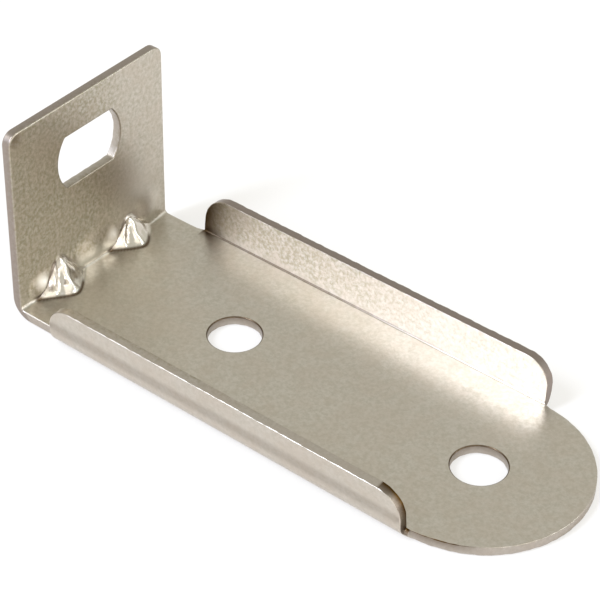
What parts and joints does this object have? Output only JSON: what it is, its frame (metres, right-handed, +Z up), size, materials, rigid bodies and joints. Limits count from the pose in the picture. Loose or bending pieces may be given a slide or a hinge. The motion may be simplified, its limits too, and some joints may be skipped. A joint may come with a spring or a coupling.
{
  "type": "mounting bracket",
  "caption": "Folded sheet metal bracket: flat base with round free end and screw holes, low side flanges, upright slotted tab with gusset darts.",
  "frame": {"origin": "midway between the two screw holes, on the underside of the base", "axes": "+X along the base away from the tab, towards the round end; +Y across the strip; +Z up out of the base, the way the flanges and the tab stand"},
  "size_m": [0.061, 0.025, 0.022],
  "materials": {
    "nickel_plate": "satin nickel plate on pressed sheet steel"
  },
  "bodies": {
    "root": {"bracket": "nickel_plate"}
  },
  "joints": []
}
